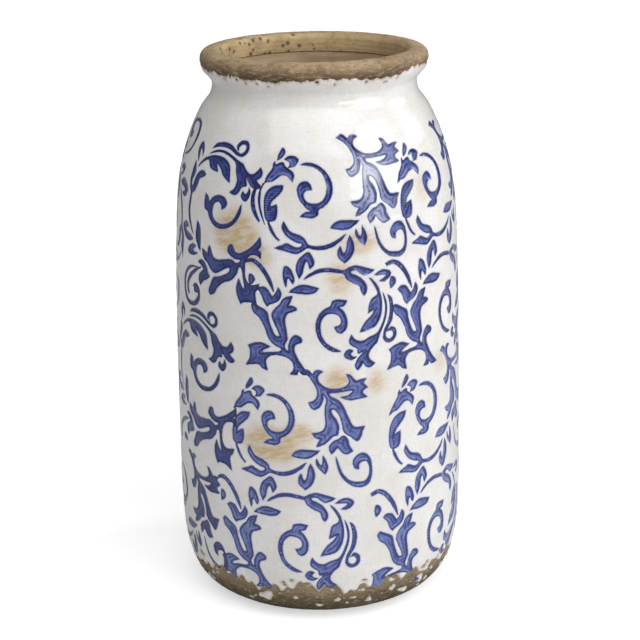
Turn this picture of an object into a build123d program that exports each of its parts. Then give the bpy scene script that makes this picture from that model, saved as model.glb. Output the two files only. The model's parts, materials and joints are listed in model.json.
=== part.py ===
from build123d import *
import math
import numpy as np
import os

os.makedirs("parts", exist_ok=True)

# Millimetres, +Z up. The origin is the centre of the foot, on the surface the vase stands on.

# Heights of the joints between the clay sections, and the glazed band.
FLOOR_TOP = 9.0
GLAZE_START = 20.0
SECTION_SEAM = 205.0
NECK_TOP = 283.0
RIM_HEIGHT = 300.0

# Foot: a shallow hollow turned under the floor leaves a ring to stand on.
FOOT_OUTER_R = 55.6
FOOT_INNER_R = 46.0
FOOT_HOLLOW = 3.0
FLOOR_EDGE_R = 70.9

# Clay radii where the sections meet.
GLAZE_START_R = 75.0
SEAM_R = 75.0
SEAM_BORE_R = 69.4
FLOOR_BORE_R = 64.0
NECK_R = 53.4
THROAT_R = 50.8

# Coats.
GLAZE = 0.8
LINING = 0.8
PAINT = 0.4

# Rolled rim: the bare roll overhangs the throat, and its straight inner face is the mouth.
RIM_FACE_Z = (289.0, 297.0)
MOUTH_R = 49.5
RIM_ROLL = [(56.6, 286.6), (59.2, 290.0), (60.2, 294.0), (58.8, 298.2), (53.8, RIM_HEIGHT)]
RIM_INNER_ROLL = [(51.0, 299.3), (MOUTH_R, RIM_FACE_Z[1])]

# Profiles, each as (radius, height) from bottom to top.
FLOOR_EDGE = [(FOOT_OUTER_R, 0.0), (61.2, 2.0), (67.3, 5.2), (FLOOR_EDGE_R, FLOOR_TOP)]
FOOT_FLARE = [(FLOOR_EDGE_R, FLOOR_TOP), (73.4, 14.0), (GLAZE_START_R, GLAZE_START)]
BODY = [(GLAZE_START_R, GLAZE_START), (77.4, 40.0), (77.7, 80.0), (76.9, 150.0), (SEAM_R, SECTION_SEAM)]
SHOULDER = [
    (SEAM_R, SECTION_SEAM), (72.5, 232.0), (67.3, 252.0), (60.3, 268.0), (54.6, 276.0), (NECK_R, NECK_TOP)]
BODY_BORE = [(FLOOR_BORE_R, FLOOR_TOP), (69.5, 16.0), (72.0, 40.0), (71.5, 150.0), (SEAM_BORE_R, SECTION_SEAM)]
SHOULDER_BORE = [
    (SEAM_BORE_R, SECTION_SEAM), (66.6, 232.0), (61.2, 252.0), (54.6, 268.0), (51.3, 276.0), (THROAT_R, NECK_TOP)]

# The decoration was laid on the wall in repeated sheets. Each motif is a closed outline, given
# as it lies on the first sheet: unrolled distance round the wall, and height.
UNROLL_R = 77.0
SHEET = {
    "hook_scroll": [
        (-8.4, 251.4), (-4.2, 252.0), (0.4, 251.0), (4.4, 248.5), (7.4, 244.8), (8.6, 240.4), (7.8, 236.0),
        (5.6, 232.8), (2.6, 230.6), (0.9, 229.6), (0.6, 227.4), (-1.8, 226.0), (-8.2, 226.5), (-5.6, 228.3),
        (-2.8, 229.0), (-5.6, 231.2), (-8.6, 235.0), (-9.9, 239.6), (-8.4, 242.4), (-5.3, 243.3),
        (-3.1, 241.9), (-2.4, 239.6), (-5.2, 239.2), (-6.9, 237.2), (-6.2, 234.6), (-3.8, 232.9),
        (0.2, 232.6), (3.4, 234.0), (5.4, 237.0), (5.9, 241.0), (5.0, 244.8), (2.6, 248.0), (-0.8, 250.1),
        (-4.4, 251.0)],
    "tulip": [
        (-17.1, 223.6), (-15.7, 221.4), (-14.4, 219.4), (-12.2, 218.0), (-9.3, 217.1), (-7.0, 215.8),
        (-5.6, 213.9), (-4.6, 212.4), (-1.6, 211.5), (2.4, 211.5), (6.6, 212.5), (10.9, 214.6),
        (14.8, 217.1), (12.2, 214.0), (8.6, 211.6), (4.6, 210.2), (0.4, 209.9), (-4.6, 210.7),
        (-6.8, 209.5), (-9.4, 208.1), (-12.4, 208.1), (-16.4, 209.2), (-21.5, 210.2), (-19.2, 211.2),
        (-17.6, 211.7), (-15.6, 212.7), (-13.2, 211.8), (-10.6, 210.7), (-8.2, 211.2), (-7.4, 213.0),
        (-10.2, 213.7), (-13.4, 215.3), (-16.0, 217.5), (-17.8, 220.8)],
    "lobed_leaf": [
        (-25.4, 223.1), (-26.9, 224.6), (-27.6, 227.4), (-27.9, 231.0), (-27.7, 234.6), (-26.7, 237.4),
        (-24.7, 239.6), (-21.8, 240.9), (-17.8, 241.2), (-18.3, 239.0), (-19.8, 237.2), (-22.0, 235.2),
        (-24.0, 233.2), (-25.2, 229.6), (-23.4, 230.9), (-21.1, 231.8), (-20.8, 229.6), (-21.0, 226.4),
        (-22.2, 224.2)],
    "sprig_leaf": [
        (7.3, 220.7), (9.2, 222.8), (12.2, 223.9), (16.0, 223.8), (22.1, 223.6), (19.4, 221.2),
        (15.6, 219.7), (11.6, 219.8)],
    "fork_leaf": [
        (-9.3, 195.2), (-10.6, 198.8), (-10.2, 202.6), (-8.4, 205.8), (-4.8, 208.6), (-2.8, 206.6),
        (-1.7, 203.0), (-3.6, 199.9), (-4.2, 202.4), (-5.3, 204.5), (-6.8, 201.6), (-7.8, 197.6)],
    "lance_leaf": [
        (-14.4, 187.7), (-11.6, 190.3), (-7.6, 191.7), (-3.6, 191.1), (0.4, 189.9), (-1.6, 187.9),
        (-5.0, 187.2), (-9.6, 187.4)],
    "round_scroll": [
        (11.2, 156.4), (7.4, 156.7), (3.8, 158.9), (0.8, 162.6), (-0.8, 167.4), (-0.8, 172.2), (0.8, 176.2),
        (3.6, 178.9), (6.4, 180.3), (7.6, 182.9), (10.2, 183.6), (14.7, 182.9), (13.2, 180.5),
        (10.7, 179.8), (13.0, 177.2), (14.6, 173.0), (14.2, 168.6), (11.9, 166.2), (9.8, 166.8),
        (8.3, 169.4), (10.7, 170.0), (12.0, 172.2), (10.9, 175.3), (8.0, 176.7), (4.6, 176.5), (2.0, 174.0),
        (0.9, 170.0), (1.4, 165.4), (3.2, 161.8), (6.2, 159.2)],
    "stag": [
        (12.8, 263.2), (15.2, 264.6), (19.2, 262.5), (22.8, 264.1), (25.4, 263.4), (22.1, 260.4),
        (24.6, 256.9), (31.4, 254.7), (38.8, 255.7), (41.0, 259.4), (39.8, 261.4), (43.7, 259.2),
        (51.4, 258.5), (48.9, 256.5), (51.5, 254.3), (48.1, 251.4), (50.5, 249.6), (40.4, 248.9),
        (35.3, 250.5), (41.6, 252.2), (34.0, 253.2), (28.0, 253.2), (34.6, 248.0), (38.0, 240.8),
        (41.8, 234.6), (47.0, 234.5), (44.6, 229.6), (42.5, 227.6), (35.8, 232.4), (33.8, 241.4),
        (29.2, 244.7), (32.8, 235.4), (32.0, 231.4), (26.2, 228.0), (20.6, 225.4), (23.2, 229.9),
        (18.4, 232.8), (24.6, 234.3), (25.8, 242.0), (27.0, 249.8), (25.0, 252.8), (22.8, 246.4),
        (19.2, 245.2), (16.8, 248.3), (21.8, 251.6), (20.6, 257.2)],
    "stalk": [
        (-35.1, 179.4), (-33.6, 180.9), (-26.4, 176.6), (-23.5, 167.0), (-21.6, 164.2), (-19.3, 164.2),
        (-23.6, 175.4), (-17.4, 184.4), (-12.8, 186.1), (-15.2, 180.7), (-10.8, 179.0), (-15.8, 176.5),
        (-17.0, 173.0), (-15.9, 163.2), (-17.4, 159.8), (-15.0, 156.6), (-15.0, 160.0), (-11.6, 165.2),
        (-8.6, 161.9), (-12.5, 157.8), (-9.6, 150.8), (-4.0, 144.6), (-8.0, 144.3), (-10.2, 146.4),
        (-14.4, 144.6), (-12.8, 150.4), (-19.0, 154.4), (-24.0, 154.2), (-27.4, 149.4), (-26.6, 145.8),
        (-31.6, 148.7), (-38.2, 147.5), (-35.9, 155.6), (-37.0, 157.8), (-29.6, 160.1), (-25.0, 158.5),
        (-30.2, 154.6), (-19.6, 156.2), (-19.0, 158.2), (-25.6, 163.4), (-27.6, 169.0), (-33.6, 176.2)],
}

# Where each sheet sits: its middle as the distance round the unrolled wall and the height, its turn to
# the left in degrees, and how much the wet paper stretched across and up.
SHEET_MIDDLE = (20.0, 200.0)
SHEETS = [
    (20.0, 200.0, 0.0, 1.0, 1.0),
    (-2.0, 78.2, 0.5, 1.01, 1.04),
    (83.2, 75.4, 2.0, 1.0, 1.07),
    (95.5, 196.8, -0.5, 1.01, 1.02),
    (-84.7, 236.9, 93.6, 1.05, 0.94),
    (-97.7, 149.3, 88.4, 1.05, 0.97),
    (-83.5, 19.8, 0.0, 0.95, 1.0),
    (163.0, 76.5, -0.8, 1.0, 1.03),
    (171.5, 200.5, 0.6, 1.0, 1.0),
    (247.0, 197.5, -0.4, 1.01, 1.0),
    (241.0, 75.0, 0.9, 1.0, 1.04),
    (-161.0, 200.0, 0.0, 1.0, 1.01),
    (-164.5, 78.0, -1.2, 1.0, 1.03),
]
PAINT_LIMITS = (20.0, 268.0)
PRISM_START_R = 45.0
PRISM_LENGTH = 45.0


def offset(profile, distance):
    """Moves a profile sideways, away from the axis for a positive distance."""
    return [(radius + distance, height) for radius, height in profile]


WALL = [FLOOR_EDGE[0]] + FOOT_FLARE[:-1] + BODY[:-1] + SHOULDER
WALL_RADII = np.array([radius + GLAZE for radius, height in WALL])
WALL_HEIGHTS = np.array([height for radius, height in WALL])
WALL_STEPS = np.hypot(np.diff(WALL_RADII), np.diff(WALL_HEIGHTS))
WALL_LENGTHS = np.concatenate([[0.0], np.cumsum(WALL_STEPS)])


def wall_radius(height):
    return float(np.interp(height, WALL_HEIGHTS, WALL_RADII))


def wall_length(height):
    return float(np.interp(height, WALL_HEIGHTS, WALL_LENGTHS))


def lay_flat(point):
    """Takes a point of the first sheet off the wall: true distances from the sheet's middle."""
    across = (point[0] - SHEET_MIDDLE[0]) * wall_radius(point[1]) / UNROLL_R
    return across, wall_length(point[1]) - wall_length(SHEET_MIDDLE[1])


def lay_on(point, middle, height, turn, stretch_across, stretch_up):
    """Lays a flat point on the wall about a sheet's middle: distance round the wall, and height."""
    angle = math.radians(turn)
    across = point[0] * stretch_across
    up = point[1] * stretch_up
    length = wall_length(height) + across * math.sin(angle) + up * math.cos(angle)
    level = float(np.interp(length, WALL_LENGTHS, WALL_HEIGHTS))
    return middle + (across * math.cos(angle) - up * math.sin(angle)) * UNROLL_R / wall_radius(level), level


def motif_patch(points, coat):
    """Cuts one motif out of the paint coat, straight along the wall's normal at the motif's middle."""
    across = [p[0] for p in points]
    middle = (min(across) + max(across)) / 2
    angle = middle / UNROLL_R
    outward = Vector(math.sin(angle), -math.cos(angle), 0)
    plane = Plane(origin=outward * PRISM_START_R, x_dir=(math.cos(angle), math.sin(angle), 0), z_dir=outward)
    with BuildSketch(plane) as outline:
        with BuildLine():
            Polyline(*((UNROLL_R * math.sin((x - middle) / UNROLL_R), z) for x, z in points), close=True)
        make_face()
    return extrude(outline.sketch, PRISM_LENGTH) & coat


with BuildPart() as clay_floor:
    with BuildSketch(Plane.XZ):
        with BuildLine():
            Polyline(
                (0, FLOOR_TOP), (0, FOOT_HOLLOW), (FOOT_INNER_R, FOOT_HOLLOW), (FOOT_INNER_R, 0), FLOOR_EDGE[0])
            Spline(*FLOOR_EDGE)
            Line(FLOOR_EDGE[-1], (0, FLOOR_TOP))
        make_face()
    revolve(axis=Axis.Z)

with BuildPart() as clay_body:
    with BuildSketch(Plane.XZ):
        with BuildLine():
            Line(BODY_BORE[0], FOOT_FLARE[0])
            Spline(*FOOT_FLARE)
            Spline(*BODY)
            Line(BODY[-1], BODY_BORE[-1])
            Spline(*BODY_BORE)
        make_face()
    revolve(axis=Axis.Z)

with BuildPart() as clay_shoulder:
    with BuildSketch(Plane.XZ):
        with BuildLine():
            Line(SHOULDER_BORE[0], SHOULDER[0])
            Spline(*SHOULDER)
            Line(SHOULDER[-1], SHOULDER_BORE[-1])
            Spline(*SHOULDER_BORE)
        make_face()
    revolve(axis=Axis.Z)

with BuildPart() as rolled_rim:
    with BuildSketch(Plane.XZ):
        with BuildLine():
            Polyline(
                (MOUTH_R, RIM_FACE_Z[1]), (MOUTH_R, RIM_FACE_Z[0]), (THROAT_R, RIM_FACE_Z[0]),
                (THROAT_R, NECK_TOP), (NECK_R + GLAZE, NECK_TOP))
            Spline((NECK_R + GLAZE, NECK_TOP), *RIM_ROLL, tangents=[(1, 1.4), (-1, 0)])
            Spline(RIM_ROLL[-1], *RIM_INNER_ROLL, tangents=[(-1, 0), (0, -1)])
        make_face()
    revolve(axis=Axis.Z)

with BuildPart() as white_glaze:
    with BuildSketch(Plane.XZ):
        with BuildLine():
            Spline(*BODY)
            Spline(*SHOULDER)
            Line(SHOULDER[-1], offset(SHOULDER, GLAZE)[-1])
            Spline(*offset(SHOULDER, GLAZE))
            Spline(*offset(BODY, GLAZE))
            Line(offset(BODY, GLAZE)[0], BODY[0])
        make_face()
    revolve(axis=Axis.Z)

with BuildPart() as inner_glaze:
    with BuildSketch(Plane.XZ):
        with BuildLine():
            Spline(*BODY_BORE)
            Spline(*SHOULDER_BORE)
            Polyline(
                SHOULDER_BORE[-1], (THROAT_R, RIM_FACE_Z[0]), (THROAT_R - LINING, RIM_FACE_Z[0]),
                offset(SHOULDER_BORE, -LINING)[-1])
            Spline(*offset(SHOULDER_BORE, -LINING))
            Spline(*offset(BODY_BORE, -LINING))
            Line(offset(BODY_BORE, -LINING)[0], BODY_BORE[0])
        make_face()
    revolve(axis=Axis.Z)
    with Locations((0, 0, FLOOR_TOP)):
        Cylinder(
            radius=FLOOR_BORE_R - LINING / 2, height=LINING, align=(Align.CENTER, Align.CENTER, Align.MIN))

with BuildPart() as paint_coat:
    with BuildSketch(Plane.XZ):
        with BuildLine():
            Spline(*offset(BODY, GLAZE))
            Spline(*offset(SHOULDER, GLAZE))
            Line(offset(SHOULDER, GLAZE)[-1], offset(SHOULDER, GLAZE + PAINT)[-1])
            Spline(*offset(SHOULDER, GLAZE + PAINT))
            Spline(*offset(BODY, GLAZE + PAINT))
            Line(offset(BODY, GLAZE + PAINT)[0], offset(BODY, GLAZE)[0])
        make_face()
    revolve(axis=Axis.Z)

placed_motifs = [
    [lay_on(lay_flat(point), *place) for point in outline] for place in SHEETS for outline in SHEET.values()]
whole_motifs = [
    points for points in placed_motifs
    if PAINT_LIMITS[0] < min(p[1] for p in points) and max(p[1] for p in points) < PAINT_LIMITS[1]]
patches = [motif_patch(points, paint_coat.part) for points in whole_motifs]
with BuildPart() as cobalt_scrolls:
    add(patches[0].fuse(*patches[1:]))

PIECES = {
    "clay_floor": clay_floor,
    "clay_body": clay_body,
    "clay_shoulder": clay_shoulder,
    "rolled_rim": rolled_rim,
    "white_glaze": white_glaze,
    "inner_glaze": inner_glaze,
    "cobalt_scrolls": cobalt_scrolls,
}
for label, piece in PIECES.items():
    piece.part.label = label
    export_step(piece.part, f"parts/{label}.step")
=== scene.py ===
import json
import math

import bmesh
import bpy
import numpy as np
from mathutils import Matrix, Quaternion, Vector, kdtree, noise
from mathutils.geometry import delaunay_2d_cdt

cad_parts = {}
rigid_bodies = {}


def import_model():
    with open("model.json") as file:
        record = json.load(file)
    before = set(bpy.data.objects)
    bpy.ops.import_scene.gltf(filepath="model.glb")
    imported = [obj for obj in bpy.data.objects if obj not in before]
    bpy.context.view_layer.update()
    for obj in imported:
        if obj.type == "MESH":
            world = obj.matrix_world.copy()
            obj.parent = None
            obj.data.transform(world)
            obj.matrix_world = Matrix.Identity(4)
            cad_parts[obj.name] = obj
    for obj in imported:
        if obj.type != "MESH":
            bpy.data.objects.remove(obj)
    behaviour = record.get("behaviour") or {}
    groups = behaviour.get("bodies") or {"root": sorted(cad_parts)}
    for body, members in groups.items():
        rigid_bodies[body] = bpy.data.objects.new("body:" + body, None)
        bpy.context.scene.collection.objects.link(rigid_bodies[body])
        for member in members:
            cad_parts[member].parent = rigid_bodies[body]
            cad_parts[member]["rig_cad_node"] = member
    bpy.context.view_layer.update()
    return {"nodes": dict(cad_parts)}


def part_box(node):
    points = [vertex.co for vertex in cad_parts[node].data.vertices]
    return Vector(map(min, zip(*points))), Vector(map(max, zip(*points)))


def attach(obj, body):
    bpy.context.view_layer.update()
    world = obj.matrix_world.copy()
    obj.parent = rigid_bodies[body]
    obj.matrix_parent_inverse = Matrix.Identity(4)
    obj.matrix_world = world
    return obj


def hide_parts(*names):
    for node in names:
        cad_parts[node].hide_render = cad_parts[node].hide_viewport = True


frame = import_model()

# Lengths are millimetres until a mesh is written, which puts them into metres.
MM = 0.001


def span(node):
    """Lowest and highest level of a CAD node, in millimetres."""
    low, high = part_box(node)
    return low.z / MM, high.z / MM


FLOOR_TOP = span("clay_floor")[1]
GLAZE_START = span("white_glaze")[0]
SECTION_SEAM = span("clay_body")[1]
NECK_TOP, RIM_TOP = span("rolled_rim")
LINING_TOP = span("inner_glaze")[1]

# Clay radii and wall coats.
GLAZE = 0.8
LINING = 0.8
MOUTH_R = 49.5
THROAT_R = 50.8
FOOT_OUTER_R = 55.6
FOOT_INNER_R = 46.0
FOOT_HOLLOW = 3.0

# Profiles of the clay, each as (radius, height); a third value of 1 marks a sharp corner.
CLAY_WALL = [
    (FOOT_OUTER_R, 0.0), (61.2, 2.0), (67.3, 5.2), (70.9, FLOOR_TOP), (73.4, 14.0), (75.0, 20.0),
    (77.4, 40.0), (77.7, 80.0), (76.9, 150.0), (75.0, SECTION_SEAM), (72.5, 232.0), (67.3, 252.0),
    (60.3, 268.0), (54.6, 276.0), (53.4, NECK_TOP), (55.2, 286.4), (58.3, 290.0), (60.1, 294.2),
    (59.8, 296.4)]
RIM_ROLL = [
    (54.9, 276.0, 1), (53.4, NECK_TOP), (55.2, 286.4), (58.3, 290.0), (60.1, 294.2), (58.9, 298.2),
    (54.4, RIM_TOP - 0.2), (51.2, 299.3), (MOUTH_R, 297.0), (49.3, 293.0), (MOUTH_R, 289.6, 1),
    (THROAT_R, 288.8, 1), (THROAT_R, 276.0, 1)]
BORE = [
    (0.0, FLOOR_TOP, 1), (58.0, FLOOR_TOP), (66.0, 12.0), (69.5, 18.0), (72.0, 40.0), (71.5, 150.0),
    (69.4, SECTION_SEAM), (66.6, 232.0), (61.2, 252.0), (54.6, 268.0), (51.5, 276.0),
    (THROAT_R, NECK_TOP), (THROAT_R, LINING_TOP, 1)]

# The decoration was laid on the wall in repeated sheets. Each motif is a closed outline of
# (distance round the wall, height) as it lies on the first sheet; a third value of 1 is a sharp corner.
UNROLL_R = 77.0
SHEET = {
    "bud_finger": [(-22, 252.9, 1), (-21.3, 255.3), (-20, 257.8), (-19.2, 258.7), (-18, 257.7),
        (-17.7, 256.3), (-18.8, 254.8), (-20.6, 253.5)],
    "bud_beak": [(-17.9, 253.4, 1), (-16.1, 254.8), (-13.4, 255.2), (-11.2, 254.6), (-9.7, 253.2),
        (-11, 251.4), (-13, 250.1), (-15.5, 249.7, 1), (-14.5, 251.2), (-14.8, 252.6), (-16.2, 253.1)],
    "bud": [(-28.7, 241.5, 1), (-27.1, 245.1), (-25.2, 247.6), (-24, 249.4), (-23.9, 251.4),
        (-23.2, 252.8, 1), (-22.5, 251), (-20.5, 251.9), (-18.2, 252.2), (-17.4, 250.6), (-15.6, 249.6),
        (-13.3, 248.1), (-12.1, 246), (-12.8, 243.4, 1), (-14.2, 244.9), (-16.4, 246.3), (-19, 246.2),
        (-21.2, 245), (-23.8, 243.2), (-26.6, 242.7)],
    "lobed_leaf": [(-25.4, 223.1, 1), (-26.9, 224.6), (-27.6, 227.4), (-27.9, 231), (-27.7, 234.6),
        (-26.7, 237.4), (-24.7, 239.6), (-21.8, 240.9), (-17.8, 241.2, 1), (-18.3, 239), (-19.8, 237.2),
        (-22, 235.2), (-24, 233.2), (-25.2, 229.6, 1), (-23.4, 230.9), (-21.1, 231.8, 1), (-20.8, 229.6),
        (-21, 226.4), (-22.2, 224.2)],
    "hook_scroll": [(-8.4, 251.4, 1), (-4.2, 252), (0.4, 251), (4.4, 248.5), (7.4, 244.8), (8.6, 240.4),
        (7.8, 236), (5.6, 232.8), (2.6, 230.6), (0.9, 229.6), (0.6, 227.4), (-1.8, 226), (-8.2, 226.5, 1),
        (-5.6, 228.3), (-2.8, 229), (-5.6, 231.2), (-8.6, 235), (-9.9, 239.6), (-8.4, 242.4), (-5.3, 243.3),
        (-3.1, 241.9), (-2.4, 239.6, 1), (-5.2, 239.2), (-6.9, 237.2), (-6.2, 234.6), (-3.8, 232.9),
        (0.2, 232.6), (3.4, 234), (5.4, 237), (5.9, 241), (5, 244.8), (2.6, 248), (-0.8, 250.1),
        (-4.4, 251)],
    "tulip": [(-17.1, 223.6, 1), (-15.7, 221.4), (-14.4, 219.4), (-12.2, 218), (-9.3, 217.1), (-7, 215.8),
        (-5.6, 213.9), (-4.6, 212.4), (-1.6, 211.5), (2.4, 211.5), (6.6, 212.5), (10.9, 214.6),
        (14.8, 217.1, 1), (12.2, 214), (8.6, 211.6), (4.6, 210.2), (0.4, 209.9), (-4.6, 210.7),
        (-6.8, 209.5), (-9.4, 208.1), (-12.4, 208.1), (-16.4, 209.2), (-21.5, 210.2, 1), (-19.2, 211.2),
        (-17.6, 211.7), (-15.6, 212.7), (-13.2, 211.8), (-10.6, 210.7), (-8.2, 211.2), (-7.4, 213),
        (-10.2, 213.7), (-13.4, 215.3), (-16, 217.5), (-17.8, 220.8)],
    "sprig_leaf": [(7.3, 220.7, 1), (9.2, 222.8), (12.2, 223.9), (16, 223.8), (22.1, 223.6, 1),
        (19.4, 221.2), (15.6, 219.7), (11.6, 219.8)],
    "cup_leaf": [(11.9, 211.3, 1), (10.8, 208.6), (11.1, 205.6), (14.1, 202.6, 1), (17, 205), (18.9, 208.8),
        (18.7, 212.8), (17, 216.4, 1), (15.9, 213.2), (15.2, 209.4), (13.8, 206.8), (12.7, 208.6)],
    "small_cup": [(20.4, 219.4, 1), (20.3, 216.4), (22.2, 213.4), (24.7, 211.1, 1), (26, 214), (25.5, 217.4),
        (23.8, 220.5, 1), (23.7, 217.4), (22.8, 215), (21.4, 216.6)],
    "stag": [(12.8, 263.2, 1), (15.2, 264.6), (17.6, 263.8), (19.2, 262.5), (20.6, 263.5), (22.8, 264.1),
        (25.4, 263.4, 1), (23, 262.2), (22.1, 260.4), (22.8, 258.5), (24.6, 256.9), (27.6, 255.4),
        (31.4, 254.7), (35.4, 254.8), (38.8, 255.7), (41, 257.4), (41, 259.4), (39.8, 261.4, 1), (42, 260.9),
        (43.7, 259.2), (45.4, 257.8), (48.6, 258.3), (51.4, 258.5, 1), (48.9, 256.5, 1), (51.5, 254.3, 1),
        (48.5, 253), (48.1, 251.4), (50.5, 249.6, 1), (45.6, 249.2), (40.4, 248.9), (35.3, 250.5, 1),
        (39.2, 251), (41.6, 252.2), (43, 253.6), (39.4, 253.6), (34, 253.2), (28, 253.2, 1), (29, 251.2),
        (32, 249.8), (34.6, 248), (36.4, 245), (38, 240.8), (39.8, 236.6), (41.8, 234.6), (47, 234.5, 1),
        (45.6, 232.4), (44.6, 229.6), (42.5, 227.6), (39.4, 229.8), (35.8, 232.4), (35, 237), (33.8, 241.4),
        (31.6, 244.4), (29.2, 244.7), (29.5, 242.2), (31.6, 239.2), (32.8, 235.4), (32, 231.4, 1),
        (29.4, 231), (26.2, 228), (20.6, 225.4, 1), (21.8, 228), (23.2, 229.9, 1), (20.4, 230.5),
        (18.4, 232.8, 1), (21.8, 233), (24.6, 234.3), (25.9, 237.4), (25.8, 242), (26.2, 246.4), (27, 249.8),
        (25, 252.8, 1), (24.6, 249.4), (22.8, 246.4), (19.2, 245.2), (16.8, 248.3, 1), (20, 249.4),
        (21.8, 251.6), (21.8, 254.6), (20.6, 257.2), (18.2, 260.2), (15.4, 262.2)],
    "chevron": [(28.3, 221.6, 1), (27.3, 225), (29.2, 227.9), (32.2, 229.1), (35.2, 230.9), (37.3, 228.9),
        (37.8, 225.6), (39.7, 222.3, 1), (36.2, 221.1), (33.6, 222.9), (31.8, 225.4, 1), (30, 223.2)],
    "spiral": [(30.7, 219.6, 1), (31.4, 214.6), (33.1, 209.8), (36, 206), (40.2, 203.2), (44.6, 202.6),
        (48, 204.2), (49.5, 208), (49.7, 212.8), (48.8, 217.6), (45.7, 220.4), (42.2, 219.7), (39.8, 216.6),
        (40.6, 213.2), (42.6, 212.3, 1), (42.7, 214.8), (44.6, 216.3), (47.4, 216), (48.8, 212.4),
        (48.3, 208), (46, 205.3), (41.8, 205.1), (37.4, 206.5), (34.2, 209.9), (32.3, 214)],
    "fork_leaf": [(-9.3, 195.2, 1), (-10.6, 198.8), (-10.2, 202.6), (-8.4, 205.8), (-4.8, 208.6),
        (-2.8, 206.6), (-1.7, 203), (-3.6, 199.9, 1), (-4.2, 202.4), (-5.3, 204.5), (-6.8, 201.6),
        (-7.8, 197.6)],
    "small_fork": [(-16.6, 201), (-17.4, 197.6), (-17, 193.8), (-16, 190.7, 1), (-15.7, 193.6),
        (-14.9, 195.4), (-13.6, 194), (-12.5, 192.2, 1), (-11.9, 195.2), (-13, 198.4), (-14.8, 200.6)],
    "lance_leaf": [(-14.4, 187.7, 1), (-11.6, 190.3), (-7.6, 191.7), (-3.6, 191.1), (0.4, 189.9, 1),
        (-1.6, 187.9), (-5, 187.2), (-9.6, 187.4)],
    "branch": [(-6.7, 194.8, 1), (-3.9, 197.4), (0.2, 199.5), (5, 200.1), (9.8, 199.4), (13.6, 198.6),
        (16.4, 199.9), (20, 200.5), (24.2, 199.3), (29.7, 197.4, 1), (27.4, 196.3), (24.7, 195.5),
        (22.2, 196.8), (20.2, 198.4), (17.4, 198.4), (17.2, 196.8), (20, 195.4), (23, 193.2), (25.2, 189.8),
        (25.1, 186.9), (23.9, 185, 1), (22.7, 187), (21.6, 190.2), (18.2, 192), (15, 194.4), (13.6, 197),
        (10, 197.9), (5, 198.6), (0.4, 198.1), (-3.4, 196.6)],
    "oval_leaf": [(29.8, 194.8, 1), (32, 196.2), (35.2, 197), (38, 196), (39.2, 194.3), (37.8, 192.3),
        (35.6, 191.2), (32.7, 191.4, 1), (35.2, 192.6), (36.9, 194.1, 1), (34.4, 194.7)],
    "drop": [(-35.8, 195.6), (-34.1, 195.1), (-33.1, 193.1), (-34.1, 191.1), (-35.9, 189.8, 1),
        (-36.5, 192.8)],
    "tassel": [(26.9, 193.9, 1), (29.6, 191.2), (31.8, 187.6), (33.3, 183.2), (33.7, 178.6), (33, 174),
        (31.1, 169.9), (28.2, 167.4), (21.6, 165.9, 1), (22.7, 168.2), (25, 171.3), (28, 173.9),
        (30.8, 177.7, 1), (28.6, 176.8), (26.1, 175.5, 1), (26.6, 178.8), (27.9, 182.2), (31.4, 184.6),
        (30.6, 188), (28.9, 191)],
    "hanging_tulip": [(34.1, 185.4, 1), (35.9, 181.4), (36.6, 177), (35.9, 172), (33.9, 166.6), (31.5, 162),
        (30.3, 159.2), (27.8, 157), (25.7, 153.8), (26.2, 150.8), (28.9, 148.4, 1), (26.9, 146.9),
        (24.6, 147.2), (22.9, 149.9, 1), (21.7, 148), (20, 145.9), (18.8, 148.2), (19.7, 151.4),
        (21.4, 153.2), (24.7, 155.8, 1), (22.4, 155.4), (20.3, 154.5), (19.8, 157.2), (17.2, 158.9),
        (15.9, 161.4), (16.8, 164.6, 1), (18.2, 162.5), (20.4, 161.1), (23.2, 160.9), (26, 162.3),
        (30.6, 163.9), (33, 167.2), (35, 172.2), (35.6, 177), (35, 181.2)],
    "curl_leaf": [(17.7, 156.4, 1), (15.8, 157.1), (13.9, 155.9), (13.2, 154), (14.9, 152.1), (17.6, 151.7),
        (19.7, 153, 1), (17.4, 153), (16.1, 154.6)],
    "round_scroll": [(11.2, 156.4, 1), (7.4, 156.7), (3.8, 158.9), (0.8, 162.6), (-0.8, 167.4),
        (-0.8, 172.2), (0.8, 176.2), (3.6, 178.9), (6.4, 180.3), (7.6, 182.9), (10.2, 183.6),
        (14.7, 182.9, 1), (13.2, 180.5), (10.7, 179.8), (13, 177.2), (14.6, 173), (14.2, 168.6),
        (11.9, 166.2), (9.8, 166.8), (8.3, 169.4, 1), (10.7, 170), (12, 172.2), (10.9, 175.3), (8, 176.7),
        (4.6, 176.5), (2, 174), (0.9, 170), (1.4, 165.4), (3.2, 161.8), (6.2, 159.2)],
    "curl_band": [(36.9, 183.7, 1), (39.1, 181.5), (40.2, 177.8), (40.1, 173.6), (38.9, 169.4), (36.7, 166),
        (35.2, 162.8), (36, 160.5), (38.2, 159.8), (40, 161.2), (40.1, 163.4), (38.6, 164.8), (37, 164.4, 1),
        (38.8, 166.1), (41.2, 164.8), (41.5, 161.2), (39.4, 158.8), (36.4, 158.6), (34.3, 160.9),
        (34.7, 165), (36.8, 169), (38, 173.2), (38.2, 177.6), (37.7, 181)],
    "wing_leaf": [(-31.5, 188.4, 1), (-29.6, 189.7), (-26.6, 189.2), (-24.8, 187.2), (-23.4, 185, 1),
        (-21.8, 186.8), (-20.2, 189.7, 1), (-18.9, 187.8), (-18.9, 184.9), (-20.8, 182.6), (-24.4, 181.2),
        (-26.1, 180, 1), (-27.6, 182), (-28.9, 185.4)],
    "stalk": [(-35.1, 179.4, 1), (-33.6, 180.9), (-30.2, 179.1), (-26.4, 176.6), (-25.3, 172), (-23.5, 167),
        (-21.6, 164.2), (-19.3, 164.2, 1), (-20.5, 167.6), (-22.3, 171.4), (-23.6, 175.4), (-22, 178.6),
        (-19.6, 181.2), (-17.4, 184.4), (-12.8, 186.1, 1), (-14, 182.8), (-15.2, 180.7, 1), (-12.4, 180.4),
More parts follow.
